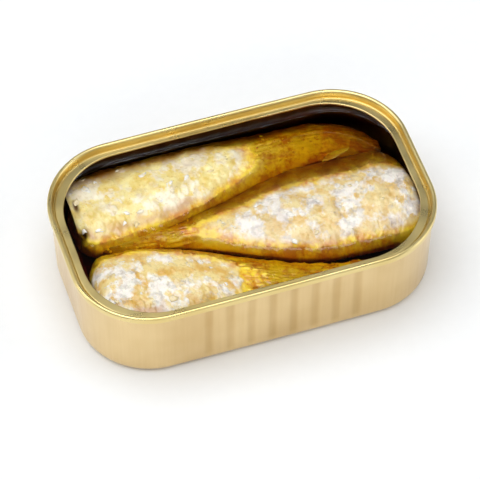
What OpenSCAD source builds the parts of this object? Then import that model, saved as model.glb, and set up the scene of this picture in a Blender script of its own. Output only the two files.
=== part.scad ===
// Sardine tin, opened: a drawn tray, the seamed ring left of its lid, three sardines and their oil.
// Millimetres. +X runs along the tin, +Y to its back, +Z up; the origin is the middle of the base.

/* [Tin] */
// Length over the seam
tin_l = 104; // [86:1:130]
// Width over the seam
tin_w = 63.4; // [52:0.2:78]
// Height from the base to the top of the seam
tin_h = 26; // [21.5:0.5:36]
// Corner radius of the seam, seen from above
corner_r = 21.5; // [17.5:0.5:25.5]
// Thickness of the drawn sheet
wall_t = 0.25; // [0.2:0.05:0.4]
// How far each side leans in from top to base
draft = 0.8; // [0:0.1:1.6]
// Radius of the edge round the base
base_r = 2.5; // [1.5:0.25:4]

/* [Seam and lid ring] */
// How far the seam stands out past the wall
seam_over = 0.8; // [0.6:0.05:1.2]
// Height of the seam's outer leg
seam_h = 2.1; // [1.7:0.1:2.8]
// Thickness of the lid sheet
lid_t = 0.25; // [0.2:0.05:0.3]
// How far the ledge lies below the top of the seam
ledge_drop = 1.9; // [1.5:0.1:2.6]
// Depth of the groove round the ledge
groove_depth = 0.6; // [0.5:0.05:0.9]
// Inside radius of the groove
groove_r = 0.3; // [0.2:0.05:0.35]
// From the seam's outside to the opening, at each end
open_end = 4.1; // [3.2:0.1:6]
// From the seam's outside to the opening, along each side
open_side = 3.4; // [2.8:0.1:5]
// How much tighter the opening's corners are than the seam's
open_tighter = 1.9; // [0:0.1:4]
// How far the opening's edge turns down
lip_drop = 0.6; // [0.4:0.1:1]

/* [Fill] */
// From the top of the seam down to the oil
headspace = 8.5; // [5:0.5:10]
// How far a fish's back stands above the oil
proud = 2.8; // [0:0.1:3.5]
// Clearance of the oil's own solid inside the sheet
oil_gap = 0.1; // [0:0.05:0.2]
// Oil between a fish and the sheet
oil_film = 0.5; // [0.3:0.1:1.2]

/* [Back sardine] */
// Width of the body, seen from above
back_w = 27.5; // [20:0.5:33]
// Width of the tail end
back_tail_w = 13.5; // [5:0.5:16]
// From the tin's end wall to the cut behind the head
back_cut_gap = 6.4; // [2:0.2:14]
// From the other end wall to the tail
back_tail_gap = 4.6; // [1:0.2:16]
// How far the tail swings towards the middle of the tin
back_swing = 11; // [0:0.5:16]
// How far the tail lies under the oil
back_tail_sink = 3.2; // [0:0.1:4]
// How far it is pressed against the back wall
back_press = 0.8; // [0:0.1:2]

/* [Middle sardine] */
// Width of the body, seen from above
middle_w = 34.5; // [20:0.5:37]
// Width of the tail end
middle_tail_w = 7.5; // [5:0.5:12]
// From the tin's end wall to the cut behind the head
middle_cut_gap = 1.6; // [0.6:0.2:14]
// From the other end wall to the tail
middle_tail_gap = 9; // [1:0.5:16]
// Sideways place of the body's middle
middle_y = -2.9; // [-6:0.1:6]
// How far the tail swings towards the back of the tin
middle_swing = 8.5; // [0:0.5:12]
// How far the tail lies under the oil
middle_tail_sink = 0.8; // [0:0.1:4]
// How far its back edge leans down
middle_lean = 2.5; // [0:0.1:3.5]

/* [Front sardine] */
// Width of the body, seen from above
front_w = 30.5; // [20:0.5:33]
// Width of the tail end
front_tail_w = 7; // [4:0.5:12]
// From the tin's end wall to the cut behind the head
front_cut_gap = 4.4; // [2:0.2:14]
// From the other end wall to the tail
front_tail_gap = 19; // [1:0.5:30]
// How far the tail lies under the oil
front_tail_sink = 0.9; // [0:0.1:4]

/* [Sardine shape] */
// Rise of a fish's back above its edges
dome = 6; // [3:0.2:7]
// Thickness of the tail end
tail_t = 5; // [3:0.5:7]
// How much of a fish's underside is pressed flat on the floor
rest_flat = 1; // [0.4:0.1:2]
// How much of the dome goes where an end rounds off
end_drop = 0.5; // [0.3:0.05:1]

/* [Hidden] */

$fn = 48;
arc_steps = 6;
stations = 20;       // cross-sections along a fish
section_steps = 20;  // points round a cross-section
// For each fish: shares of its length between which it narrows, and between which its back goes down;
// length of the rounding at the cut and how far that closes in; length of the rounding at the tail.
back_build = [[0.08, 0.9], [0.28, 1], [4, 0.3], 16];
middle_build = [[0.28, 0.84], [0.35, 0.92], [7, 0.6], 6];
front_build = [[0.1, 0.97], [0.2, 0.75], [6, 0.5], 6];

wall_top = tin_h - lid_t;
ledge_z = tin_h - ledge_drop;
groove_z = ledge_z - groove_depth;
oil_z = tin_h - headspace;
open_r = corner_r - open_tighter;
shoulder_r = lid_t;                                   // the ledge's outer edge bends this tightly
seam_x = corner_r - seam_over - wall_t - lid_t;       // inner face of the seam
groove_x = seam_x - 0.2 - groove_r;                   // middle of the groove: the seam's inner leg leans in 0.2
ledge_x = groove_x - groove_r - shoulder_r;           // where the flat of the ledge starts
end_x = tin_l / 2 - seam_over - wall_t;               // inner face of each end wall, at the top
side_y = tin_w / 2 - seam_over - wall_t - draft - oil_film; // outer edge of the back and front sardines
seam_top_r = (corner_r - seam_x) * 0.45;              // rounding of the seam's two top edges
seam_foot_r = seam_over * 0.45;

tray_metal = [0.80, 0.69, 0.46];
ring_metal = [0.86, 0.78, 0.52];
oil_amber = [0.62, 0.42, 0.06, 0.55];
skin_back = [0.86, 0.80, 0.60];
skin_middle = [0.90, 0.86, 0.74];
skin_front = [0.88, 0.80, 0.62];

// Points along an arc about [x, y], from one angle to another.
function arc(x, y, r, from, to) =
    [for (i = [0:arc_steps]) let (a = from + (to - from) * i / arc_steps) [x + r * cos(a), y + r * sin(a)]];
// Outer face of the tray's wall at a height, measured out from a corner's axis.
function wall_x(z) = corner_r - seam_over - draft * (1 - z / tin_h);
// A smooth step from 0 at low to 1 at high.
function ease(t, low, high) = let (u = min(1, max(0, (t - low) / (high - low)))) u * u * (3 - 2 * u);

// Runs a profile round a rounded rectangle. The profile's X is the distance from a corner's axis.
module around(l, w, r) {
    for (mx = [0, 1], my = [0, 1]) mirror([mx, 0, 0]) mirror([0, my, 0])
        translate([l / 2 - r, w / 2 - r, 0]) rotate_extrude(angle = 90) children();
    for (my = [0, 1]) mirror([0, my, 0])
        translate([r - l / 2, w / 2 - r, 0]) rotate([90, 0, 90]) linear_extrude(l - 2 * r) children();
    for (mx = [0, 1]) mirror([mx, 0, 0])
        translate([l / 2 - r, w / 2 - r, 0]) rotate([90, 0, 0]) linear_extrude(w - 2 * r) children();
}

// Flat plate with the outline of a rounded rectangle.
module plate(l, w, r, z, t) {
    around(l, w, r) translate([0, z]) square([r, t]);
    translate([r - l / 2, r - w / 2, z]) cube([l - 2 * r, w - 2 * r, t]);
}

// The drawn tray: floor, rounded base edge and leaning wall in one sheet.
module can_body() {
    axis_x = wall_x(base_r) - base_r;
    color(tray_metal) {
        around(tin_l, tin_w, corner_r) polygon(concat(
            [[0, 0]],
            arc(axis_x, base_r, base_r, -90, 0),
            [[wall_x(wall_top), wall_top], [wall_x(wall_top) - wall_t, wall_top]],
            arc(axis_x, base_r, base_r - wall_t, 0, -90),
            [[0, wall_t]]));
        translate([corner_r - tin_l / 2, corner_r - tin_w / 2, 0])
            cube([tin_l - 2 * corner_r, tin_w - 2 * corner_r, wall_t]);
    }
}

// The seam curled over the tray's wall, the groove inside it and the ledge round the opening.
module lid_ring() {
    seam_foot_z = tin_h - seam_h;
    bend_z = groove_z + groove_r;
    color(ring_metal) {
        around(tin_l, tin_w, corner_r) polygon(concat(
            [[wall_x(seam_foot_z), seam_foot_z]],
            arc(corner_r - seam_foot_r, seam_foot_z + seam_foot_r, seam_foot_r, -90, 0),
            arc(corner_r - seam_top_r, tin_h - seam_top_r, seam_top_r, 0, 90),
            arc(seam_x + seam_top_r, tin_h - seam_top_r, seam_top_r, 90, 180),
            arc(groove_x, bend_z, groove_r, 0, -180),
            arc(ledge_x, ledge_z - shoulder_r, shoulder_r, 0, 90),
            [[ledge_x - lid_t, ledge_z], [ledge_x - lid_t, ledge_z - lid_t]],
            arc(groove_x, bend_z, groove_r + lid_t, -180, 0),
            [[wall_x(ledge_z) - wall_t, ledge_z], [wall_x(wall_top) - wall_t, wall_top],
             [wall_x(wall_top), wall_top]]));
        difference() {
            inset = corner_r - ledge_x;
            plate(tin_l - 2 * inset, tin_w - 2 * inset, ledge_x, ledge_z - lid_t, lid_t);
            plate(tin_l - 2 * open_end, tin_w - 2 * open_side, open_r, ledge_z - 2 * lid_t, 3 * lid_t);
        }
        around(tin_l - 2 * open_end, tin_w - 2 * open_side, open_r)
            polygon([[open_r, ledge_z - lid_t], [open_r, ledge_z - lip_drop], [open_r + lid_t, ledge_z - lip_drop],
                     [open_r + lid_t, ledge_z - lid_t]]);
    }
}

// Room inside the tray, up to a height and clear of the sheet by a film: the hull of its four round corners.
module room(top, film) {
    axis_x = wall_x(base_r) - base_r;
    gap = wall_t + film;
    hull()
        for (sx = [-1, 1], sy = [-1, 1])
            translate([sx * (tin_l / 2 - corner_r), sy * (tin_w / 2 - corner_r), 0])
                rotate_extrude() polygon(concat(
                    [[0, gap]],
                    arc(axis_x, base_r, base_r - gap, -90, 0),
                    [[wall_x(top) - gap, top], [0, top]]));
}

// A headless sardine lying on its side, cut end at t = 0 and tail at t = 1.
// from_x and to_x are those ends; edge_y is where its outer edge lies (side 1 or -1) or its middle (side 0).
module sardine(from_x, to_x, edge_y, side, w, tail_w, swing, sink, lean, build) {
    floor_z = wall_t + oil_film - rest_flat;
    length = abs(to_x - from_x);
    function along(i) = (1 - cos(180 * i / stations)) / 2;
    function thin(t) = ease(t, build[1][0], build[1][1]);
    function rounded(t) = let (a = max(0, 1 - t * length / build[2][0]), b = max(0, 1 - (1 - t) * length / build[3]))
        sqrt(1 - build[2][1] * a * a) * sqrt(1 - 0.9 * b * b);
    function width(t) = (w - (w - tail_w) * ease(t, build[0][0], build[0][1])) * rounded(t);
    function middle(t) = side == 0
        ? edge_y + swing * t * t
        : edge_y - side * (width(t) / 2 + swing * pow(max(0, (t - 0.55) / 0.45), 5));
    function top(t) = oil_z + proud - (proud + sink) * thin(t) - (1 - rounded(t)) * dome * end_drop;
    function rise(t) = dome + (tail_t / 2 - dome) * thin(t);
    function bottom(t) = floor_z + (top(t) - tail_t - floor_z) * thin(t);
    function section(t) = let (edge_z = top(t) - rise(t), deep = edge_z - bottom(t))
        [for (k = [0:section_steps - 1]) let (a = 360 * k / section_steps, c = cos(a), s = sin(a))
            [from_x + (to_x - from_x) * t,
             middle(t) + width(t) / 2 * c,
             edge_z + (s > 0 ? rise(t) : deep) * s - lean * (1 - thin(t)) * ease(c, -0.2, 1)]];
    near_face = [for (k = [0:section_steps - 1]) k];
    far_face = [for (k = near_face) section_steps + k];
    for (i = [1:stations])
        hull() polyhedron(concat(section(along(i - 1)), section(along(i))), [near_face, far_face]);
}

// Each sardine where it lies, kept off the sheet by the film of oil.
module back_form() {
    intersection() {
        sardine(back_cut_gap - end_x, end_x - back_tail_gap, side_y + back_press, 1,
                back_w, back_tail_w, back_swing, back_tail_sink, 0, back_build);
        room(tin_h, oil_film);
    }
}

module middle_form() {
    intersection() {
        sardine(end_x - middle_cut_gap, middle_tail_gap - end_x, middle_y, 0,
                middle_w, middle_tail_w, middle_swing, middle_tail_sink, middle_lean, middle_build);
        room(tin_h, oil_film);
    }
}

module front_form() {
    intersection() {
        sardine(front_cut_gap - end_x, end_x - front_tail_gap, -side_y, -1,
                front_w, front_tail_w, 0, front_tail_sink, 0, front_build);
        room(tin_h, oil_film);
    }
}

module sardine_back() {
    color(skin_back) back_form();
}

// The middle sardine gives way where the back one lies over it.
module sardine_middle() {
    color(skin_middle) difference() {
        middle_form();
        back_form();
    }
}

// The front sardine gives way to both.
module sardine_front() {
    color(skin_front) difference() {
        front_form();
        back_form();
        middle_form();
    }
}

module oil() {
    color(oil_amber) difference() {
        room(oil_z, oil_gap);
        back_form();
        middle_form();
        front_form();
    }
}

can_body();
lid_ring();
oil();
sardine_back();
sardine_middle();
sardine_front();
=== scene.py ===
import math
from dataclasses import dataclass

import bmesh
import bpy
import numpy as np
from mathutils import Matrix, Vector


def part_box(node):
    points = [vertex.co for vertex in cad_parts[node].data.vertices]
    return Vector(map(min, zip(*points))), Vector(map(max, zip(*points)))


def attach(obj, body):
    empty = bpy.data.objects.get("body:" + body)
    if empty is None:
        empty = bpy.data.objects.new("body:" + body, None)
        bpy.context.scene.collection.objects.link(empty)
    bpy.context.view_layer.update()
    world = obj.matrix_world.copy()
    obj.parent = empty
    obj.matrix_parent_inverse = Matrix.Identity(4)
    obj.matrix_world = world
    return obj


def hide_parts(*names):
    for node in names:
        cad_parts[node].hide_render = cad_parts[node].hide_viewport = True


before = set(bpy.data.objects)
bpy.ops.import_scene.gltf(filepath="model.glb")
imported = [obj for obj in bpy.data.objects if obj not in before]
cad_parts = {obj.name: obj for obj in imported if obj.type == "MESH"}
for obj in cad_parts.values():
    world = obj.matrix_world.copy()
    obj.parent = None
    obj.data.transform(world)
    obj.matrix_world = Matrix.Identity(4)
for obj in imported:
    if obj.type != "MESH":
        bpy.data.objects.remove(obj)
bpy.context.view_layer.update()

# An opened tin of sardines: a drawn tray, the seam and ring left of its lid, three fish, their loose scales
# and crumbs, a torn fin, and the oil. Sizes are in millimetres; pieces are turned to metres as they are made.

MM = 0.001


def box_mm(node):
    """Lowest and highest corner of a CAD node, in millimetres."""
    low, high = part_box(node)
    return np.array(low) / MM, np.array(high) / MM


# ---------------------------------------------------------------- sizes

RING_LOW, RING_HIGH = box_mm("lid_ring")
OIL_Z = box_mm("oil")[1][2]               # level of the oil
TIN_L = RING_HIGH[0] - RING_LOW[0]
TIN_W = RING_HIGH[1] - RING_LOW[1]
TIN_H = RING_HIGH[2]
CORNER_R = 21.5                           # seam's corner, seen from above
SIDE_BOW = 0.35                           # how far the long sides bulge at their middle
AXIS_X = TIN_L / 2 - CORNER_R             # the corners' axes
AXIS_Y = TIN_W / 2 - CORNER_R

SHEET_T = 0.25                            # both sheets
SEAM_OVER = 0.8                           # seam stands out past the wall
SEAM_H = 2.1
SEAM_ROUND = 0.45                         # how round its edges are, to its thickness
DRAFT = 0.8                               # each wall leans in from top to base
BASE_R = 2.5
LEDGE_DROP = 1.9
GROOVE_DEPTH = 0.6
GROOVE_R = 0.3
OPEN_END = 4.1                            # seam's outside to the opening, at each end
OPEN_SIDE = 3.4                           # and along each side
OPEN_R = CORNER_R - 1.9                   # opening's corner
LIP_DROP = 0.6                            # how far its edge is turned down
TEAR = 0.05                               # how far that edge wavers where the lid was torn off

FLUTE_PITCH = 6.1                         # upright flutes pressed into both long walls
FLUTE_W = 2.4
FLUTE_DEPTH = 0.12
FLUTES = 8
FLUTE_SHIFT = 1.8                         # the row's middle, from the tin's
FLUTE_LOW = (1.5, 4.0)                    # heights where they come up out of the wall
FLUTE_HIGH = (22.5, 23.8)                 # and fade into it again
PANEL_INSET = 5.0                         # stamped panel in the base, in from the wall
PANEL_RISE = 0.4

CORNER_STEPS = 22                         # points along each corner, long side and short side
LONG_STEPS = 150
SHORT_STEPS = 24


# ---------------------------------------------------------------- shapes

def smooth_step(x, low=0.0, high=1.0):
    """0 below low, 1 above high, with a soft run between them."""
    u = np.clip((x - low) / (high - low), 0, 1)
    return u * u * (3 - 2 * u)


def ripple(points, size, seed):
    """Smooth uneven relief between -1 and 1, with bumps about `size` apart."""
    rng = np.random.default_rng(seed)
    lattice = rng.uniform(-1, 1, (64, 64, 64))
    place = np.asarray(points) / size + 200.0
    cell = np.floor(place).astype(int)
    part = place - cell
    part = part * part * (3 - 2 * part)
    total = 0
    for dx in (0, 1):
        for dy in (0, 1):
            for dz in (0, 1):
                weight = (np.abs(1 - dx - part[..., 0]) * np.abs(1 - dy - part[..., 1])
                          * np.abs(1 - dz - part[..., 2]))
                total = total + weight * lattice[(cell[..., 0] + dx) % 64, (cell[..., 1] + dy) % 64,
                                                 (cell[..., 2] + dz) % 64]
    return total


def round_rect(half_l, half_w, radius):
    """Points once round a rounded rectangle: always the same number, in the same order."""
    corners = []
    for turn, sx, sy in ((0, 1, 1), (1, -1, 1), (2, -1, -1), (3, 1, -1)):
        angle = np.linspace(turn, turn + 1, CORNER_STEPS + 1) * math.pi / 2
        corners.append(np.stack([sx * (half_l - radius) + radius * np.cos(angle),
                                 sy * (half_w - radius) + radius * np.sin(angle)], -1))
    outline = []
    for i, steps in enumerate((LONG_STEPS, SHORT_STEPS, LONG_STEPS, SHORT_STEPS)):
        start, end = corners[i][-1], corners[(i + 1) % 4][0]
        share = np.arange(1, steps)[:, None] / steps
        outline += [corners[i], start + (end - start) * share]
    outline = np.concatenate(outline)
    outline[:, 1] *= 1 + SIDE_BOW / half_w * (1 - (outline[:, 0] / half_l) ** 2)
    return outline


def ring_at(reach, z):
    """Ring round the tin, `reach` out from the corners' axes, at height z."""
    flat = round_rect(AXIS_X + reach, AXIS_Y + reach, reach)
    return np.column_stack([flat, np.full(len(flat), z)])


def arc(x, y, radius, start, end, steps=8):
    """Points along an arc about (x, y), between two angles in degrees."""
    angle = np.radians(np.linspace(start, end, steps + 1))
    return [(x + radius * math.cos(a), y + radius * math.sin(a)) for a in angle]


def once_round(count):
    """Angles spread evenly over one turn."""
    return np.arange(count) / count * 2 * math.pi


def sweep(rings, loop=False, cap=False):
    """Points and faces of a skin through rings of equal length."""
    rings = np.asarray(rings)
    count, around = rings.shape[:2]
    faces = []
    for i in range(count if loop else count - 1):
        low, high = i * around, (i + 1) % count * around
        for j in range(around):
            k = (j + 1) % around
            faces.append((low + j, low + k, high + k, high + j))
    if cap:
        faces.append(tuple(range(around))[::-1])
        faces.append(tuple(range((count - 1) * around, count * around)))
    return rings.reshape(-1, 3), faces


def make_piece(name, points, faces, materials, nodes=(), masks=None):
    """A smooth closed piece in the tin's frame, riding on the tin. masks are named values per point."""
    mesh = bpy.data.meshes.new(name)
    mesh.from_pydata((np.asarray(points) * MM).tolist(), [], faces)
    for mask, values in (masks or {}).items():
        values = np.asarray(values, np.float32)
        kind, field = ("FLOAT", "value") if values.ndim == 1 else ("FLOAT_VECTOR", "vector")
        mesh.attributes.new(mask, kind, "POINT").data.foreach_set(field, values.ravel())
    work = bmesh.new()
    work.from_mesh(mesh)
    bmesh.ops.recalc_face_normals(work, faces=work.faces)
    work.to_mesh(mesh)
    work.free()
    mesh.polygons.foreach_set("use_smooth", [True] * len(mesh.polygons))
    for material in materials:
        mesh.materials.append(material)
    piece = bpy.data.objects.new(name, mesh)
    bpy.context.scene.collection.objects.link(piece)
    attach(piece, "root")
    if nodes:
        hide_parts(*nodes)
    return piece


# ---------------------------------------------------------------- finishes

def colour(code):
    """Linear colour of an sRGB hex code."""
    parts = [int(code[i:i + 2], 16) / 255 for i in (1, 3, 5)]
    return tuple(c / 12.92 if c <= 0.04045 else ((c + 0.055) / 1.055) ** 2.4 for c in parts) + (1.0,)


def new_finish(name):
    """An empty material, its node tree and its output."""
    material = bpy.data.materials.new(name)
    material.use_nodes = True
    tree = material.node_tree
    tree.nodes.clear()
    return material, tree, tree.nodes.new("ShaderNodeOutputMaterial")


def add(tree, kind, inputs, **settings):
    """Adds a node with its settings; an input given as a socket is linked, any other is set."""
    made = tree.nodes.new(kind)
    for name, value in settings.items():
        setattr(made, name, value)
    for key, value in inputs.items():
        if isinstance(value, bpy.types.NodeSocket):
            tree.links.new(value, made.inputs[key])
        else:
            made.inputs[key].default_value = value
    return made


def per_mm(size):
    """Texture scale that repeats every `size` millimetres in a piece's own metres."""
    return 1 / (size * MM)


def gold_lacquer(name, tint, deep_tint, roughness, streak):
    """Aluminium sheet under a clear gold lacquer, rolled and then drawn.

    The metal gives coloured reflections, the lacquer a sharper clear gloss on top, and rolling leaves
    faint streaks; streak is their size along X, Y and Z. The flutes' troughs get the deeper tint as
    painted shade."""
    material, tree, out = new_finish(name)
    where = add(tree, "ShaderNodeTexCoord", {}).outputs["Object"]
    # Painted shade: how deep a point lies in the wall's flutes, to darken its colour there.
    painted_flute_shade = add(tree, "ShaderNodeAttribute", {}, attribute_name="painted_flute_shade").outputs["Fac"]
    # Roll marks are about 0.05 mm apart; they are drawn 0.9 mm apart or more so that they show.
    stretched = add(tree, "ShaderNodeVectorMath", {0: where, 1: [per_mm(size) for size in streak]},
                    operation="MULTIPLY")
    streaks = add(tree, "ShaderNodeTexNoise", {"Vector": stretched.outputs[0], "Scale": 1.0, "Detail": 1.0})
    clouds = add(tree, "ShaderNodeTexNoise", {"Vector": where, "Scale": per_mm(18), "Detail": 2.0})
    both = add(tree, "ShaderNodeMix", {0: 0.88, 2: streaks.outputs["Fac"], 3: clouds.outputs["Fac"]})
    shade = add(tree, "ShaderNodeMapRange", {"Value": both.outputs[0], "From Min": 0.3, "From Max": 0.7,
                                             "To Min": 0.0, "To Max": 0.5})
    # Noise tone, plus painted shade in the flutes' troughs.
    tint_and_flute_shade = add(tree, "ShaderNodeMath", {0: painted_flute_shade, 1: 0.4, 2: shade.outputs[0]},
                   operation="MULTIPLY_ADD")
    base = add(tree, "ShaderNodeMix", {0: tint_and_flute_shade.outputs[0], 6: colour(tint), 7: colour(deep_tint)},
               data_type="RGBA")
    rough = add(tree, "ShaderNodeMapRange", {
        "Value": streaks.outputs["Fac"], "From Min": 0.3, "From Max": 0.7,
        "To Min": roughness - 0.04, "To Max": roughness + 0.04})
    shader = add(tree, "ShaderNodeBsdfPrincipled", {
        "Base Color": base.outputs[2], "Metallic": 1.0, "Roughness": rough.outputs[0],
        "Coat Weight": 0.35, "Coat Roughness": 0.15})
    tree.links.new(shader.outputs[0], out.inputs["Surface"])
    return material


def sardine_finish(name, pearl, cream, honey, smudge_and_shade, cracking, seed):
    """Cooked sardine, oiled: scaly skin with a pearly layer under it, and bare flesh where it has come off.

    The pearly layer gives the white patches, the oil soaked in gives the golden ones and its film the wet
    gloss; light goes a little way into the flesh, which softens every edge."""
    material, tree, out = new_finish(name)

    def mask(attribute, output="Fac"):
        return add(tree, "ShaderNodeAttribute", {}, attribute_name=attribute).outputs[output]

    def spread(value, low, high, most=1.0, least=0.0):
        return add(tree, "ShaderNodeMapRange", {
            "Value": value, "From Min": low, "From Max": high, "To Min": least, "To Max": most}).outputs[0]

    def times(value, factor, plus=0.0):
        return add(tree, "ShaderNodeMath", {0: value, 1: factor, 2: plus},
                   operation="MULTIPLY_ADD").outputs[0]

    def blend(part, under, over):
        return add(tree, "ShaderNodeMix", {0: part, 6: under, 7: over}, data_type="RGBA").outputs[2]

    def mottle(size, detail, shift, roughness=0.7):
        # `lie` is in millimetres along and across the fish, so scales here are one over millimetres.
        place = add(tree, "ShaderNodeVectorMath",
                    {0: mask("lie", "Vector"), 1: (seed * 31.0, shift * 17.0, shift)}, operation="ADD")
        return add(tree, "ShaderNodeTexNoise", {
            "Vector": place.outputs[0], "Scale": 1 / size, "Detail": detail,
            "Roughness": roughness}).outputs["Fac"]

    # Skin: cream and honey, white where the pearly layer is left, and smudged.
    flakes = add(tree, "ShaderNodeTexVoronoi", {"Vector": mask("lie", "Vector"), "Scale": 1 / 1.9},
                 feature="DISTANCE_TO_EDGE").outputs["Distance"]
    fine = mottle(0.7, 3.0, 1)
    patches = mottle(7, 4.0, 2, 0.6)
    pearly = times(mask("tone"), 0.12, patches)
    skin = blend(spread(mottle(4, 4.0, 3, 0.55), 0.44, 0.62), colour(cream), colour(honey))
    skin = blend(spread(pearly, 0.53, 0.64), skin, colour(pearl))
    # The pearly layer is thin and stiff, so where it is left it crumples like foil; its creases get painted
    # shade.
    creases = mottle(2.4, 4.0, 7, 0.55)
    pearl_left = spread(pearly, 0.55, 0.62)
    crumpled = times(creases, pearl_left)
    painted_crease_shade = times(spread(creases, 0.5, 0.38, 0.35), pearl_left)
    # Painted shade in the creases, in the same grey as the random smudges below.
    skin = blend(painted_crease_shade, skin, colour(smudge_and_shade))
    skin = blend(spread(mottle(5, 5.0, 4), 0.56, 0.7, 0.6), skin, colour(smudge_and_shade))
    # Fine brown lines between the scale pockets, in some places only, and the tan belly.
    seams = times(spread(flakes, 0.0, 0.06, 0.0, cracking), spread(mottle(3, 2.0, 5), 0.4, 0.6))
    skin = blend(seams, skin, colour("#8E6228"))
    skin = blend(spread(fine, 0.6, 0.74, 0.55), skin, colour("#B0823C"))
    skin = blend(mask("belly"), skin, colour("#D2A070"))
    # Flesh: amber fibres, and more golden where oil has soaked in.
    fibres = spread(mottle(4.5, 6.0, 6), 0.4, 0.56)
    flesh = blend(fibres, colour("#D88A10"), colour("#FAD03C"))
    dry = blend(mask("skin"), flesh, skin)
    golden = blend(fibres, colour("#D88806"), colour("#FFDA2E"))
    soaked = blend(times(mask("soaked"), 0.9), dry, golden)
    # Browner towards the spine, and painted shade towards the back and the tail end.
    shaded = blend(mask("spine_tone_and_shade"), soaked, colour("#824C08"))
    base = blend(mask("browned"), shaded, colour("#5A360E"))
    relief = add(tree, "ShaderNodeMix", {0: 0.2, 2: fine, 3: spread(flakes, 0.0, 0.15)}).outputs[0]
    wrinkles = add(tree, "ShaderNodeBump", {
        "Height": times(crumpled, 1.5, relief), "Strength": 0.45, "Distance": 0.15 * MM})
    shader = add(tree, "ShaderNodeBsdfPrincipled", {
        "Base Color": base, "Roughness": spread(patches, 0.3, 0.7, 0.45, 0.25), "IOR": 1.4,
        "Subsurface Weight": 0.2, "Subsurface Radius": (1.2, 0.8, 0.4), "Subsurface Scale": MM,
        "Coat Weight": 0.7, "Coat Roughness": 0.06, "Coat IOR": 1.47, "Normal": wrinkles.outputs[0]})
    tree.links.new(shader.outputs[0], out.inputs["Surface"])
    return material


def scale_finish(name):
    """Loose sardine scales: thin horny discs with a pearly underside, wet with oil.

    They give crisp bright glints and a slightly different white from scale to scale."""
    material, tree, out = new_finish(name)
    tone = add(tree, "ShaderNodeAttribute", {}, attribute_name="tone").outputs["Fac"]
    where = add(tree, "ShaderNodeTexCoord", {}).outputs["Object"]
    mottle = add(tree, "ShaderNodeTexNoise", {"Vector": where, "Scale": per_mm(0.9), "Detail": 3.0})
    warm = add(tree, "ShaderNodeMapRange", {"Value": tone, "From Min": 0.35, "From Max": 0.8})
    white = add(tree, "ShaderNodeMix", {0: warm.outputs[0], 6: colour("#F6F0E4"), 7: colour("#EBD49C")},
                data_type="RGBA")
    grey_part = add(tree, "ShaderNodeMapRange", {
        "Value": mottle.outputs["Fac"], "From Min": 0.55, "From Max": 0.75, "To Max": 0.5})
    base = add(tree, "ShaderNodeMix", {0: grey_part.outputs[0], 6: white.outputs[2], 7: colour("#B9AE9E")},
               data_type="RGBA")
    crumple = add(tree, "ShaderNodeBump", {
        "Height": mottle.outputs["Fac"], "Strength": 0.5, "Distance": 0.15 * MM})
    shader = add(tree, "ShaderNodeBsdfPrincipled", {
        "Base Color": base.outputs[2], "Roughness": 0.25, "IOR": 1.55,
        "Coat Weight": 0.8, "Coat Roughness": 0.05, "Coat IOR": 1.47, "Normal": crumple.outputs[0]})
    tree.links.new(shader.outputs[0], out.inputs["Surface"])
    return material


def olive_oil():
    """Olive oil stained by the fish: a clear liquid that takes the blue out first, then the green.

    Thin oil looks yellow, deep oil amber and then nearly black, all by its depth."""
    material, tree, out = new_finish("olive_oil")
    surface = add(tree, "ShaderNodeBsdfPrincipled", {
        "Base Color": (1, 1, 1, 1), "Roughness": 0.0, "IOR": 1.47, "Transmission Weight": 1.0})
    depth = add(tree, "ShaderNodeVolumeAbsorption", {"Color": (0.985, 0.9, 0.0, 1.0), "Density": 700.0})
    tree.links.new(surface.outputs[0], out.inputs["Surface"])
    tree.links.new(depth.outputs[0], out.inputs["Volume"])
    return material


def studio_white():
    """White studio paper: matt, with the faintest fibre in it."""
    material, tree, out = new_finish("studio_paper")
    where = add(tree, "ShaderNodeTexCoord", {}).outputs["Object"]
    fibre = add(tree, "ShaderNodeTexNoise", {"Vector": where, "Scale": per_mm(3), "Detail": 2.0})
    base = add(tree, "ShaderNodeMix", {0: fibre.outputs["Fac"], 6: colour("#F6F6F6"), 7: colour("#F9F9F9")},
               data_type="RGBA")
    shader = add(tree, "ShaderNodeBsdfPrincipled", {"Base Color": base.outputs[2], "Roughness": 0.9})
    tree.links.new(shader.outputs[0], out.inputs["Surface"])
    return material


TRAY_METAL = gold_lacquer("gold_lacquered_tray", "#EBD09A", "#C8A568", 0.32, (0.9, 0.9, 30))
RING_METAL = gold_lacquer("gold_lacquered_ring", "#EDD898", "#D4B45E", 0.30, (8, 8, 8))
# The inside's lacquer is painted dark brown, as painted shade inside the tin.
INNER_LACQUER_AND_SHADE = gold_lacquer("baked_inner_lacquer_and_shade", "#6E4418", "#54320F", 0.42, (0.9, 0.9, 30))
SCALES = scale_finish("pearly_scales")
OIL = olive_oil()


# ---------------------------------------------------------------- the tin

def wall_reach(z):
    """Outer face of the tray's wall at a height."""
    return CORNER_R - SEAM_OVER - DRAFT * (1 - z / TIN_H)


def flute_depth(ring):
    """How deep each point lies in the shallow upright flutes along both long walls, from 0 to 1."""
    x, y, z = ring[..., 0], ring[..., 1], ring[..., 2]
    centres = FLUTE_SHIFT + (np.arange(FLUTES) - (FLUTES - 1) / 2) * FLUTE_PITCH
    trough = sum(np.exp(-((x - c) / (FLUTE_W / 2)) ** 4) for c in centres)
    fade = smooth_step(z, *FLUTE_LOW) * (1 - smooth_step(z, *FLUTE_HIGH))
    on_side = np.abs(y) > AXIS_Y + BASE_R
    return on_side * trough * fade


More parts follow.
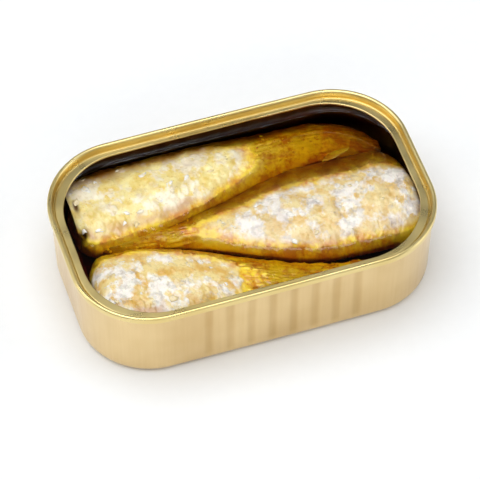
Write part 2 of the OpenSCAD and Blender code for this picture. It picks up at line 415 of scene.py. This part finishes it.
def make_tray():
    """The drawn tray: up its outside from the panel in the base, then down its inside."""
    top = TIN_H - SHEET_T
    axis = wall_reach(BASE_R) - BASE_R
    wall_z = np.linspace(BASE_R, top, 16)
    panel = [(axis - PANEL_INSET, PANEL_RISE), (axis - PANEL_INSET + 0.5, PANEL_RISE - 0.05),
             (axis - PANEL_INSET + 0.9, 0.05), (axis - PANEL_INSET + 1.4, 0.0)]
    outside = panel + arc(axis, BASE_R, BASE_R, -90, 0) + [(wall_reach(z), z) for z in wall_z[1:]]
    inside = [(wall_reach(z) - SHEET_T, z) for z in wall_z[:0:-1]]
    inside += arc(axis, BASE_R, BASE_R - SHEET_T, 0, -90)
    inside += [(reach, z + SHEET_T) for reach, z in panel[::-1]]
    rings = np.array([ring_at(reach, z) for reach, z in outside + inside])
    flute = flute_depth(rings)
    rings[..., 1] -= np.sign(rings[..., 1]) * FLUTE_DEPTH * flute
    points, faces = sweep(rings, cap=True)
    # The flutes' depth also goes to the finishes, as painted shade in their troughs.
    tray = make_piece("tin_tray", points, faces, [TRAY_METAL, INNER_LACQUER_AND_SHADE], ["can_body"],
                      {"painted_flute_shade": flute.ravel()})
    around = rings.shape[1]
    # Faces on the inside take the inner lacquer, painted dark as shade.
    for face in tray.data.polygons:
        face.material_index = int(min(face.vertices) >= len(outside) * around)
    return tray


def make_ring():
    """The seam curled over the wall, the groove inside it, and the ledge with its turned-down edge."""
    foot_z = TIN_H - SEAM_H
    ledge_z = TIN_H - LEDGE_DROP
    bend_z = ledge_z - GROOVE_DEPTH + GROOVE_R
    seam_x = CORNER_R - SEAM_OVER - 2 * SHEET_T
    top_r = (CORNER_R - seam_x) * SEAM_ROUND
    foot_r = SEAM_OVER * SEAM_ROUND
    groove_x = seam_x - 0.2 - GROOVE_R
    ledge_x = groove_x - GROOVE_R - SHEET_T
    wall_top = TIN_H - SHEET_T
    seam = ([(wall_reach(foot_z), foot_z)]
            + arc(CORNER_R - foot_r, foot_z + foot_r, foot_r, -90, 0)
            + arc(CORNER_R - top_r, TIN_H - top_r, top_r, 0, 90)
            + arc(seam_x + top_r, TIN_H - top_r, top_r, 90, 180)
            + arc(groove_x, bend_z, GROOVE_R, 0, -180)
            + arc(ledge_x, ledge_z - SHEET_T, SHEET_T, 0, 90))
    under = ([(ledge_x, ledge_z - SHEET_T)]
             + arc(groove_x, bend_z, GROOVE_R + SHEET_T, -180, 0)
             + [(wall_reach(ledge_z) - SHEET_T, ledge_z), (wall_reach(wall_top) - SHEET_T, wall_top),
                (wall_reach(wall_top), wall_top)])
    outer = round_rect(AXIS_X + ledge_x, AXIS_Y + ledge_x, ledge_x)
    inner = round_rect(TIN_L / 2 - OPEN_END, TIN_W / 2 - OPEN_SIDE, OPEN_R)
    outward = outer - inner
    outward /= np.linalg.norm(outward, axis=1, keepdims=True)
    waver = TEAR * ripple(np.column_stack([inner, np.zeros(len(inner))]), 2.5, 5)[:, None]

    def ledge_ring(share, z):
        flat = outer + (inner - outer) * share
        return np.column_stack([flat, np.full(len(flat), z)])

    def edge_ring(back, z):
        flat = inner + outward * (back + waver)
        return np.column_stack([flat, np.full(len(flat), z)])

    edge = [(0.22, ledge_z), (0.09, ledge_z - 0.04), (0.02, ledge_z - 0.14), (0.0, ledge_z - 0.3),
            (0.02, ledge_z - LIP_DROP + 0.05), (0.08, ledge_z - LIP_DROP), (0.2, ledge_z - LIP_DROP),
            (SHEET_T, ledge_z - LIP_DROP + 0.05), (SHEET_T, ledge_z - SHEET_T - 0.05),
            (SHEET_T + 0.1, ledge_z - SHEET_T)]
    rings = [ring_at(reach, z) for reach, z in seam]
    rings += [ledge_ring(share, ledge_z) for share in np.linspace(0.15, 0.85, 5)]
    rings += [edge_ring(back, z) for back, z in edge]
    rings += [ledge_ring(share, ledge_z - SHEET_T) for share in (0.7, 0.3)]
    rings += [ring_at(reach, z) for reach, z in under]
    points, faces = sweep(rings, loop=True)
    return make_piece("seam_ring", points, faces, [RING_METAL], ["lid_ring"])


# ---------------------------------------------------------------- the fish

OIL_FILM = 0.5                            # oil between a fish and the sheet
PROUD = 2.8                               # a fish's back stands this far above the oil
DOME = 6.0                                # rise of a fish's back above its edges
TAIL_T = 5.0                              # thickness of a tail
REST_FLAT = 1.0                           # how far its own weight flattens a fish's underside
END_DROP = 0.5                            # how much of its dome a fish loses where its ends round off
FLOOR_Z = SHEET_T + OIL_FILM - REST_FLAT
SCALE_PITCH = 2.2                         # a sardine's scales are 4 to 5 mm, with half of each showing
SEGMENT = 2.7                             # from one muscle segment of bare flesh to the next
SOAK_LOW, SOAK_HIGH = 0.4, 1.5            # skin is soaked up to here above the oil, and dry from here

STATIONS = 300                            # rings along a fish; points over its back and under it
TOP_STEPS = 120
UNDER_STEPS = 40


@dataclass
class Sardine:
    """One fish lying on its side."""
    name: str
    cut_x: float                          # where its cut and its tail end
    tail_x: float
    edge_y: float                         # its outer edge, or its middle if it lies along no wall
    side: int                             # wall it lies along: 1 at the back, -1 at the front, 0 neither
    width: float
    tail_width: float
    swing: float                          # how far its tail swings off its wall, or to the back without one
    narrows: tuple                        # shares of the length where it starts and stops narrowing
    tail_sink: float
    dips: tuple                           # shares of the length where the back starts and stops going down
    skin_end: float                       # share of the length where the skin ends, at its middle
    blunt: tuple                          # length of the rounding at the cut, and how far it closes in
    taper: float                          # length of the rounding at the tail
    raised: float                         # how much higher the edge at the back lies, or at the wall
    hollows: tuple                        # gut holes and slits: run, y, half length, half width, depth
    belly: tuple                          # tan belly: strength, where it starts across (two shares), its end
    seed: int


def fish_ends(node, cut_low):
    """Where a fish's cut and its tail lie along the tin."""
    low, high = box_mm(node)
    return (low[0], high[0]) if cut_low else (high[0], low[0])


SIDE_Y = TIN_W / 2 - SEAM_OVER - SHEET_T - DRAFT - OIL_FILM     # outer edge of the back and front fish
back_cut, back_tail = fish_ends("sardine_back", True)
middle_cut, middle_tail = fish_ends("sardine_middle", False)
front_cut, front_tail = fish_ends("sardine_front", True)
FISH = [
    Sardine("sardine_back", cut_x=back_cut, tail_x=back_tail, edge_y=SIDE_Y + 0.8, side=1,
            width=27.5, tail_width=13.5, swing=11, narrows=(0.08, 0.9), tail_sink=3.2, dips=(0.28, 1.0),
            skin_end=0.62, blunt=(4.0, 0.3), taper=16, raised=0,
            hollows=((1.1, 8.0, 1.5, 1.3, 1.2), (1.6, 17.0, 0.8, 2.4, 0.4)),
            belly=(0.7, 0.55, 0.75, 70), seed=11),
    Sardine("sardine_middle", cut_x=middle_cut, tail_x=middle_tail, edge_y=-2.9, side=0,
            width=34.5, tail_width=7.5, swing=8.5, narrows=(0.28, 0.84), tail_sink=0.8, dips=(0.35, 0.92),
            skin_end=0.68, blunt=(7.0, 0.6), taper=6, raised=-2.5, hollows=(),
            belly=(0.2, 0.55, 0.75, 70), seed=12),
    Sardine("sardine_front", cut_x=front_cut, tail_x=front_tail, edge_y=-SIDE_Y, side=-1,
            width=30.5, tail_width=7, swing=0, narrows=(0.10, 0.97), tail_sink=0.9, dips=(0.2, 0.75),
            skin_end=0.5, blunt=(6.0, 0.5), taper=6, raised=0, hollows=(),
            belly=(0.8, 0.42, 0.55, 14), seed=13),
]


def keep_inside(points):
    """Moves points that would lie in the sheet back to a film of oil inside it."""
    x, y, z = points[..., 0], points[..., 1], points[..., 2]
    in_base = np.clip((BASE_R - z) / BASE_R, 0, 1)
    room = wall_reach(z) - SHEET_T - OIL_FILM - BASE_R * (1 - np.sqrt(1 - 0.98 * in_base ** 2))
    past_x = np.maximum(np.abs(x) - AXIS_X, 0)
    past_y = np.maximum(np.abs(y) - AXIS_Y, 0)
    reach = np.hypot(past_x, past_y)
    pull = np.where(reach > room, room / np.maximum(reach, 1e-6), 1)
    points[..., 0] = np.sign(x) * np.where(past_x > 0, AXIS_X + past_x * pull, np.abs(x))
    points[..., 1] = np.sign(y) * np.where(past_y > 0, AXIS_Y + past_y * pull, np.abs(y))
    points[..., 2] = np.maximum(z, SHEET_T + OIL_FILM)
    return points


def fish_form(fish, t, angle):
    """Smooth body of a fish: share of its length t, angle round its section (0 to pi over the top)."""
    length = abs(fish.tail_x - fish.cut_x)
    from_cut = np.maximum(0, 1 - t * length / fish.blunt[0])
    from_tail = np.maximum(0, 1 - (1 - t) * length / fish.taper)
    rounded = np.sqrt(1 - fish.blunt[1] * from_cut ** 2) * np.sqrt(1 - 0.9 * from_tail ** 2)
    slim = smooth_step(t, *fish.narrows)
    width = (fish.width - (fish.width - fish.tail_width) * slim) * rounded
    bend = fish.swing * np.maximum(0, (t - 0.55) / 0.45) ** 5
    middle = fish.edge_y - fish.side * (width / 2 + bend) + (fish.side == 0) * fish.swing * t ** 2
    thin = smooth_step(t, *fish.dips)
    top = OIL_Z + PROUD - (PROUD + fish.tail_sink) * thin - (1 - rounded) * DOME * END_DROP
    rise = DOME + (TAIL_T / 2 - DOME) * thin
    bottom = FLOOR_Z + (top - TAIL_T - FLOOR_Z) * thin
    across = width / 2 * np.cos(angle)
    up = np.where(np.sin(angle) > 0, rise, top - rise - bottom) * np.sin(angle)
    lift = fish.raised * (1 - thin) * smooth_step((fish.side or 1) * across / (width / 2), -0.2, 1.0)
    x = fish.cut_x + (fish.tail_x - fish.cut_x) * t
    return np.stack([x, middle + across, top - rise + up + lift], -1)


def grid_normals(points, inward):
    """Normal at each point of a grid that is closed in its second direction."""
    along = np.gradient(points, axis=0)
    around = np.roll(points, -1, 1) - np.roll(points, 1, 1)
    normal = np.cross(along, around) * (-1 if inward else 1)
    return normal / np.maximum(np.linalg.norm(normal, axis=-1, keepdims=True), 1e-9)


def shingles(run, across, pitch, seed):
    """Overlapping round scales with free edges down the run: each point's height and its scale's tone.

    Each scale is a little out of place, tilted and toned by itself; the one nearer the head lies on top."""
    rng = np.random.default_rng(seed)
    jitter = rng.uniform(-0.32, 0.32, (64, 64, 2))
    tilts = rng.normal(0, 0.04, (64, 64, 2))
    tones = rng.uniform(0, 1, (64, 64))
    radius = 0.84 * pitch                 # so that each scale overlaps its neighbours all round
    row_gap = 0.58 * pitch
    row0 = np.round(across / row_gap).astype(int)
    col0 = np.floor(run / pitch).astype(int)
    best = np.full(run.shape, 1e9)
    height = np.zeros(run.shape)
    tone = np.zeros(run.shape)
    for dr in (-2, -1, 0, 1, 2):
        for dc in (-2, -1, 0, 1):
            row, col = row0 + dr, col0 + dc
            shift = jitter[row % 64, col % 64]
            x = (col + 0.5 * (row % 2) + shift[..., 0]) * pitch
            y = row * row_gap + shift[..., 1] * pitch
            inside = (run - x) ** 2 + (across - y) ** 2 < radius ** 2
            over = inside & (x < best)
            best = np.where(over, x, best)
            tilt = tilts[row % 64, col % 64]
            rise = 0.08 * (run - x) / radius + tilt[..., 0] * (run - x) + tilt[..., 1] * (across - y)
            height = np.where(over, rise, height)
            tone = np.where(over, tones[row % 64, col % 64], tone)
    return height, tone


def skin_relief(fish, body, lie, edge, height, skin):
    """How far each point stands out of a fish's smooth body: lumps, grain, scales and bare fibres."""
    run, across = lie[..., 0], lie[..., 1]
    torn = smooth_step(ripple(lie, 3.2, fish.seed + 7), 0.05, 0.35)
    lumps = 0.45 * ripple(body, 10, fish.seed + 3) + 0.22 * ripple(body, 4, fish.seed + 4)
    grain = 0.09 * ripple(lie, 1.3, fish.seed + 5) + 0.05 * ripple(lie, 0.7, fish.seed + 6)
    bow = 0.9 * edge ** 2 + 0.3 * ripple(lie, 6, fish.seed + 8)
    segments = np.abs(np.sin(math.pi * (run / SEGMENT + bow)))
    fibres = ripple(np.stack([run / 5, across, np.zeros_like(run)], -1), 0.6, fish.seed + 9)
    return (lumps + grain + skin * (0.28 + height * (1 - 0.4 * torn))
            + (1 - skin) * (0.08 * segments + 0.22 * fibres))


CUT_MASKS = {"skin": 1.0, "tone": 0.6, "belly": 0.2}      # masks over the cut end; the others are 0


def make_fish(fish, material):
    """A fish with its skin, the bare flesh where that ends, and the cut at its head end."""
    share = np.linspace(0, 1, STATIONS)
    share = share - 0.035 * np.sin(2 * math.pi * share)       # closer together at both ends
    angle = np.concatenate([np.linspace(0, math.pi, TOP_STEPS, endpoint=False),
                            np.linspace(math.pi, 2 * math.pi, UNDER_STEPS, endpoint=False)])
    t, a = np.meshgrid(share, angle, indexing="ij")
    body = keep_inside(fish_form(fish, t, a))
    normal = grid_normals(body, inward=fish.tail_x > fish.cut_x)
    length = abs(fish.tail_x - fish.cut_x)
    run = t * length
    across = body[..., 1] - body.mean(axis=1, keepdims=True)[..., 1]
    half = np.abs(across).max(axis=1, keepdims=True)
    edge = np.clip(np.abs(across) / half, 0, 1)
    lie = np.stack([run, across, np.zeros_like(run)], -1)
    upper = smooth_step(np.sin(a), -0.1, 0.35)

    ragged = 2.2 * ripple(lie, 5, fish.seed) + 1.0 * ripple(lie, 1.6, fish.seed + 1)
    skin_end = fish.skin_end * length
    skin = 1 - smooth_step(run + ragged, skin_end - 0.4, skin_end + 0.5)
    height, tone = shingles(run + 0.5 * ripple(lie, 7, fish.seed + 2), across, SCALE_PITCH, fish.seed)
    relief = skin_relief(fish, body, lie, edge, height, skin) * upper * smooth_step(run, 0, 1.2)
    # Browner where the gut holes and slits sink in.
    browned = np.zeros_like(run)
    for at, y, half_run, half_y, depth in fish.hollows:
        away = ((run - at) / half_run) ** 2 + ((body[..., 1] - y) / half_y) ** 2
        browned = np.maximum(browned, np.exp(-away ** 1.5) * upper)
        relief = relief - depth * np.exp(-away) * upper
    body = keep_inside(body + normal * relief[..., None])

    # Where it darkens towards its spine, with painted shade towards the back and the tail end, browns at its
    # belly, and soaks in oil.
    spine_tone_and_shade = smooth_step(across * (fish.side or 1) / half, 0.3, 0.85) + 0.25 * ripple(lie, 3, fish.seed + 10)
    spine_tone_and_shade = 0.85 * np.where(fish.side >= 0, np.maximum(spine_tone_and_shade, smooth_step(t, 0.8, 1.0)), 0)
    strength, first, last, end = fish.belly
    belly = strength * smooth_step(-across / half + 0.12 * ripple(lie, 2.5, fish.seed + 15), first, last)
    belly = belly * (1 - smooth_step(run, end, end + 5))
    soaked = 1 - smooth_step(body[..., 2] + 0.25 * ripple(lie, 2, fish.seed + 14),
                             OIL_Z + SOAK_LOW, OIL_Z + SOAK_HIGH)
    masks = {"lie": lie, "tone": tone, "skin": skin, "spine_tone_and_shade": np.clip(spine_tone_and_shade, 0, 1), "soaked": soaked,
             "browned": browned, "belly": belly * (1 - soaked)}

    cut_rings = cut_end(body[0], fish)
    tail_centre = body[-1].mean(axis=0)
    tail_rings = [tail_centre + (body[-1] - tail_centre) * s for s in (0.66, 0.33, 0.05)]
    points, faces = sweep(list(cut_rings) + list(body) + tail_rings, cap=True)
    full = {}
    for mask, values in masks.items():
        if mask == "lie":
            cut_values = cut_rings[..., [1, 2, 0]]
        else:
            cut_values = np.full(cut_rings.shape[:2], CUT_MASKS.get(mask, 0.0))
        tail_values = np.repeat(values[-1:], len(tail_rings), 0)
        full[mask] = np.concatenate([cut_values, values, tail_values])
        full[mask] = full[mask].reshape((-1, 3) if mask == "lie" else -1)
    make_piece(fish.name + "_fish", points, faces, [material], [fish.name], full)
    return body, normal, masks


def cut_end(rim, fish):
    """The cut behind the head: flesh drawn in a little, with the gut's hollow low down in it."""
    inward = 1 if fish.tail_x > fish.cut_x else -1
    centre = (rim.max(axis=0) + rim.min(axis=0)) / 2
    rings = []
    for share in (0.04, 0.2, 0.4, 0.6, 0.8, 0.94):
        ring = centre + (rim - centre) * share
        from_gut = ((ring[:, 1] - centre[1] + 6) / 3.5) ** 2 + ((ring[:, 2] - centre[2] - 1) / 4.5) ** 2
        rough = 0.35 * ripple(ring, 1.8, fish.seed + 20) + 0.2 * ripple(ring, 0.8, fish.seed + 21)
        ring[:, 0] += inward * (2.6 * np.exp(-from_gut) + rough + 0.5 * (1 - share ** 6))
        rings.append(ring)
    return np.asarray(rings)


# ---------------------------------------------------------------- loose scales

LOOSE_SIZES = (0.5, 1.3)                  # half the length of a loose scale
LOOSE_T = 0.04
SPOKES = 9                                # points round each loose scale


def scale_disc():
    """A flat round scale of radius 1: its points, and its faces with a second sheet of points below."""
    turn = once_round(SPOKES)
    circle = np.stack([np.cos(turn), np.sin(turn)], -1)
    flat = np.concatenate([np.zeros((1, 2)), circle / 2, circle])
    count = len(flat)
    inner, outer = 1, 1 + SPOKES
    top, wall = [], []
    for j in range(SPOKES):
        k = (j + 1) % SPOKES
        top += [(0, inner + j, inner + k), (inner + j, outer + j, outer + k, inner + k)]
        wall.append((outer + j, outer + k, count + outer + k, count + outer + j))
    below = [tuple(count + v for v in face)[::-1] for face in top]
    return flat, top + below + wall


def make_scales(name, fish, body, normal, masks, keep, seed):
    """Loose scales lying on the skin that stands out of the oil; keep is the share of places that get one."""
    rng = np.random.default_rng(seed)
    flat, disc_faces = scale_disc()
    count = len(flat)
    points, faces, tones = [], [], []
    run = masks["lie"][:, 0, 0]
    down_tail = 1.0 if fish.tail_x > fish.cut_x else -1.0
    for at in np.arange(1.5, abs(fish.tail_x - fish.cut_x) * 0.9, SCALE_PITCH * 0.62):
        i = int(np.argmin(np.abs(run - at)))
        for j in range(3, TOP_STEPS - 3):
            if rng.random() > keep:
                continue
            k = int(np.clip(i + rng.integers(-4, 5), 2, STATIONS - 3))
            place, up = body[k, j], normal[k, j]
            if place[2] < OIL_Z + 1.0 or masks["skin"][k, j] < 0.9 or up[2] < 0.7:
                continue
            along = np.array([down_tail, 0, 0]) + 0.9 * rng.normal(size=3)
            side = np.cross(up, along)
            side /= np.linalg.norm(side)
            along = np.cross(side, up)
            size = rng.uniform(*LOOSE_SIZES) * np.array([1.0, rng.uniform(0.45, 0.9)])
            tilt = rng.uniform(0.0, 0.08)
            cup = rng.uniform(-0.05, 0.08)
            torn = 0.3 * rng.normal(size=(count, 1)) * (np.hypot(*flat.T)[:, None] > 0.8)
            disc = flat * size * (1 + torn)
            lift = LOOSE_T + tilt * (disc[:, 0] + size[0] * 0.6) - cup * (disc ** 2).sum(1)
            lift += 0.05 * rng.normal(size=count)
            shape = place + disc[:, :1] * along + disc[:, 1:] * side + lift[:, None] * up
            start = len(points) * 2 * count
            points.append(np.concatenate([shape, shape - LOOSE_T * up]))
            faces += [tuple(start + v for v in face) for face in disc_faces]
            tones.append(np.full(2 * count, rng.random()))
    if not points:
        return None
    tones = {"tone": np.concatenate(tones)}
    return make_piece(name, np.concatenate(points), faces, [SCALES], masks=tones)


# ---------------------------------------------------------------- crumbs and a torn fin

CRUMBS = 45                               # to each fish
CRUMB_SIZES = (0.25, 0.6)                 # half the length of a crumb
CRUMB_STEPS = 7                           # points round each crumb
FIN_ROOT = (28.0, 13.2, 16.8)             # the fin lies between the back fish's tail and the middle fish
FIN_TIP = (37.0, 15.4, 16.8)
FIN_W = 2.6
FIN_T = 0.6
FIN_LEAN = 0.35                           # how far its back edge leans down, to its width


def bare_masks(points, shade):
    """Masks of oil-soaked flesh without skin; shade says how brown it is."""
    none = np.zeros(len(points))
    masks = {mask: none for mask in ("skin", "tone", "spine_tone_and_shade", "belly")}
    return {"lie": points, "soaked": none + 1, "browned": none + shade, **masks}


def make_crumbs(name, bodies, masks, material):
    """Crumbs of flesh come loose from the bare tails, all in one piece."""
    rng = np.random.default_rng(71)
    turn = once_round(CRUMB_STEPS)
    belts = [np.column_stack([math.cos(e) * np.cos(turn), math.cos(e) * np.sin(turn),
                              np.full(CRUMB_STEPS, math.sin(e))]) for e in (-1.1, -0.4, 0.4, 1.1)]
    ball, ball_faces = sweep(belts, cap=True)
    points, faces = [], []
    for body, mask in zip(bodies, masks):
        upper = np.zeros(body.shape[:2], bool)
        upper[:, TOP_STEPS // 8:TOP_STEPS * 7 // 8] = True
        bare = body[(mask["skin"] < 0.3) & upper & (body[..., 2] > OIL_Z - 2.5)]
        for place in bare[rng.choice(len(bare), CRUMBS, replace=False)]:
            size = rng.uniform(*CRUMB_SIZES) * np.array([1.0, rng.uniform(0.5, 0.9), 0.5])
            shape = ball * size * (1 + 0.2 * rng.normal(size=(len(ball), 1)))
            swing = rng.uniform(0, math.pi)
            c, s = math.cos(swing), math.sin(swing)
            shape = shape @ np.array([[c, s, 0], [-s, c, 0], [0, 0, 1]])
            start = len(points) * len(ball)
            points.append(shape + place)
            faces += [tuple(start + v for v in face) for face in ball_faces]
    points = np.concatenate(points)
    return make_piece(name, points, faces, [material], masks=bare_masks(points, 0.0))


def make_fin(name, root, tip, width, material):
    """A torn fin: a thin leaf lying between two fish."""
    root, tip = np.array(root), np.array(tip)
    share = np.linspace(0.02, 0.98, 30)[:, None, None]
    turn = once_round(20)[None, :, None]
    side = np.cross((0, 0, 1), tip - root) / np.linalg.norm(tip - root)
    side[2] = -FIN_LEAN
    spine = root + (tip - root) * share + side * 0.5 * np.sin(math.pi * share)
    half = width / 2 * np.sin(math.pi * share) ** 0.7
    rings = spine + side * half * np.cos(turn) + np.array([0, 0, FIN_T / 2]) * np.sin(turn)
    rings = rings + 0.15 * ripple(rings, 0.9, 91)[..., None]
    points, faces = sweep(rings, cap=True)
    return make_piece(name, points, faces, [material], masks=bare_masks(points, 0.3))


# ---------------------------------------------------------------- the oil

CLING = 1.9                               # how far from an edge the oil's climb dies out
WALL_CLIMB = 0.9                          # how far it climbs the sheet
WALL_CURL, CURL = 0.9, 0.4                # and its last steep part, with how far that reaches
FISH_CLIMB = 0.25                         # how far it climbs a fish
CELL = 0.5                                # of the grid its height is worked out on
SPREADS = 400                             # rounds in which the climb spreads out from cell to cell
INTO_SHEET = 0.1                          # the oil's skin lies within the sheet, so that no gap shows


def oil_heights(fish_tops):
    """Height of the oil above its level on a square grid, drawn up where it meets the sheet and the fish."""
    nx, ny = int(TIN_L / CELL) + 1, int(TIN_W / CELL) + 1
    x = (np.arange(nx) - (nx - 1) / 2) * CELL
    y = (np.arange(ny) - (ny - 1) / 2) * CELL
    gx, gy = np.meshgrid(x, y, indexing="ij")
    reach = np.hypot(np.maximum(np.abs(gx) - AXIS_X, 0), np.maximum(np.abs(gy) - AXIS_Y, 0))
    outside = reach > wall_reach(OIL_Z) - SHEET_T
    tops = np.full((nx, ny), -9.0)        # far down where there is no fish
    cells = np.round(fish_tops[:, :2] / CELL + [(nx - 1) / 2, (ny - 1) / 2]).astype(int)
    np.maximum.at(tops, (cells[:, 0], cells[:, 1]), fish_tops[:, 2] - OIL_Z)
    held = (tops > 0.1) & ~outside
    level = np.where(held, np.clip(tops, 0, FISH_CLIMB), 0.0)
    for _ in range(SPREADS):
        around = np.roll(level, 1, 0) + np.roll(level, -1, 0) + np.roll(level, 1, 1) + np.roll(level, -1, 1)
        level = np.where(held, level, around / (4 + (CELL / CLING) ** 2))
    return level


def height_at(level, flat):
    """Reads the grid of heights at points, between its cells."""
    nx, ny = level.shape
    place = flat / CELL + [(nx - 1) / 2, (ny - 1) / 2]
    cell = np.clip(np.floor(place).astype(int), 0, [nx - 2, ny - 2])
    u, v = (place - cell).T
    i, j = cell.T
    return (level[i, j] * (1 - u) * (1 - v) + level[i + 1, j] * u * (1 - v)
            + level[i, j + 1] * (1 - u) * v + level[i + 1, j + 1] * u * v)


def make_oil(fish_tops):
    """The oil, from just inside the sheet's thickness to its uneven surface."""
    level = oil_heights(fish_tops)
    sheet = SHEET_T - INTO_SHEET
    axis = wall_reach(BASE_R) - BASE_R
    rim = wall_reach(OIL_Z) - sheet
    highest = OIL_Z + WALL_CLIMB + WALL_CURL - 0.4
    below = [(axis * 0.5, sheet)]
    below += arc(axis, BASE_R, BASE_R - sheet, -90, 0)
    below += [(wall_reach(z) - sheet, z) for z in np.linspace(6, highest, 5)]
    rings = [ring_at(reach, z) for reach, z in below]
    half_l, half_w = AXIS_X + rim, AXIS_Y + rim
    inset = 0.0
    while inset < half_w - 0.3:
        flat = round_rect(half_l - inset, half_w - inset, max(rim - inset, 0.05))
        climb = WALL_CLIMB * math.exp(-inset / CLING) + WALL_CURL * math.exp(-inset / CURL)
        rings.append(np.column_stack([flat, OIL_Z + climb + height_at(level, flat)]))
        inset += 0.08 if inset < 1 else 0.22 if inset < 4 else 0.45      # closest where it curls up
    points, faces = sweep(rings, cap=True)
    return make_piece("oil_pool", points, faces, [OIL], ["oil"])


# ---------------------------------------------------------------- building

make_tray()
make_ring()
FINISHES = {
    "sardine_back": sardine_finish("back_sardine", "#FAEED0", "#F8E6A0", "#ECCE70", "#DAC088", 0.05, 1),
    "sardine_middle": sardine_finish("middle_sardine", "#FAF2E6", "#F0DAA0", "#E4BE72", "#A49A98", 0.12, 2),
    "sardine_front": sardine_finish("front_sardine", "#FCF4E6", "#F0D894", "#E0B258", "#8A7E72", 0.15, 3),
}
bodies, body_masks = [], []
for fish, keep in zip(FISH, (0.006, 0.012, 0.012)):
    body, normal, masks = make_fish(fish, FINISHES[fish.name])
    make_scales(fish.name.replace("sardine", "scales"), fish, body, normal, masks, keep, fish.seed + 40)
    bodies.append(body)
    body_masks.append(masks)
make_crumbs("flesh_crumbs", bodies, body_masks, FINISHES["sardine_middle"])
make_fin("torn_fin", FIN_ROOT, FIN_TIP, FIN_W, FINISHES["sardine_back"])
make_oil(np.concatenate([body.reshape(-1, 3) for body in bodies]))

# ---------------------------------------------------------------- studio

floor_mesh = bpy.data.meshes.new("studio_floor")
floor_mesh.from_pydata([(-3, -3, 0), (3, -3, 0), (3, 3, 0), (-3, 3, 0)], [], [(0, 1, 2, 3)])
floor_mesh.materials.append(studio_white())
floor = bpy.data.objects.new("studio_floor", floor_mesh)
bpy.context.scene.collection.objects.link(floor)

world = bpy.data.worlds.new("studio_air")
world.use_nodes = True
# White walls round the table, and a dark ceiling between the lamps.
skyward = add(world.node_tree, "ShaderNodeSeparateXYZ",
              {0: add(world.node_tree, "ShaderNodeTexCoord", {}).outputs["Generated"]}).outputs["Z"]
walls = add(world.node_tree, "ShaderNodeMapRange", {"Value": skyward, "From Min": 0.45, "From Max": 0.7,
                                                    "To Min": 0.58, "To Max": 0.04})
world.node_tree.links.new(walls.outputs[0], world.node_tree.nodes["Background"].inputs["Strength"])
world.node_tree.nodes["Background"].inputs["Color"].default_value = (0.95, 0.98, 1, 1)
bpy.context.scene.world = world


def soft_light(name, place, size, power):
    """A large soft lamp turned to the tin; metres and watts. Daylight tubes, so faintly cool."""
    lamp = bpy.data.lights.new(name, "AREA")
    lamp.color = (0.96, 0.98, 1.0)
    lamp.shape = "RECTANGLE"
    lamp.size, lamp.size_y = size
    lamp.energy = power
    holder = bpy.data.objects.new(name, lamp)
    holder.location = place
    holder.rotation_euler = Vector(place).to_track_quat("Z", "Y").to_euler()
    bpy.context.scene.collection.objects.link(holder)
    return holder


soft_light("overhead", (-0.15, 0.05, 1.1), (1.2, 1.1), 12.0)
soft_light("left_window", (-1.1, 0.3, 0.6), (0.5, 0.9), 2.4)
soft_light("front_window", (-0.3, -1.2, 0.8), (1.3, 0.22), 2.6)
soft_light("right_window", (1.1, -0.4, 0.6), (0.8, 0.9), 3.7)

CAMERA_TURN, CAMERA_TILT = math.radians(-18.27), math.radians(51.66)
CAMERA_REACH = 0.9285                     # metres
LENS = 250.6                              # focal length for a sensor 36 mm wide
LENS_SHIFT = (-0.0042, -0.025)            # of the frame's width, so the tin stands a little high in it
aim = Vector((0, 0, 0.014))
back = Vector((math.sin(CAMERA_TURN) * math.cos(CAMERA_TILT), -math.cos(CAMERA_TURN) * math.cos(CAMERA_TILT),
               math.sin(CAMERA_TILT)))
lens = bpy.data.cameras.new("camera")
lens.lens = LENS
lens.sensor_width = 36
lens.shift_x, lens.shift_y = LENS_SHIFT
camera = bpy.data.objects.new("camera", lens)
camera.location = aim + back * CAMERA_REACH
camera.rotation_euler = back.to_track_quat("Z", "Y").to_euler()
bpy.context.scene.collection.objects.link(camera)
bpy.context.scene.camera = camera
bpy.context.scene.view_settings.view_transform = "Standard"
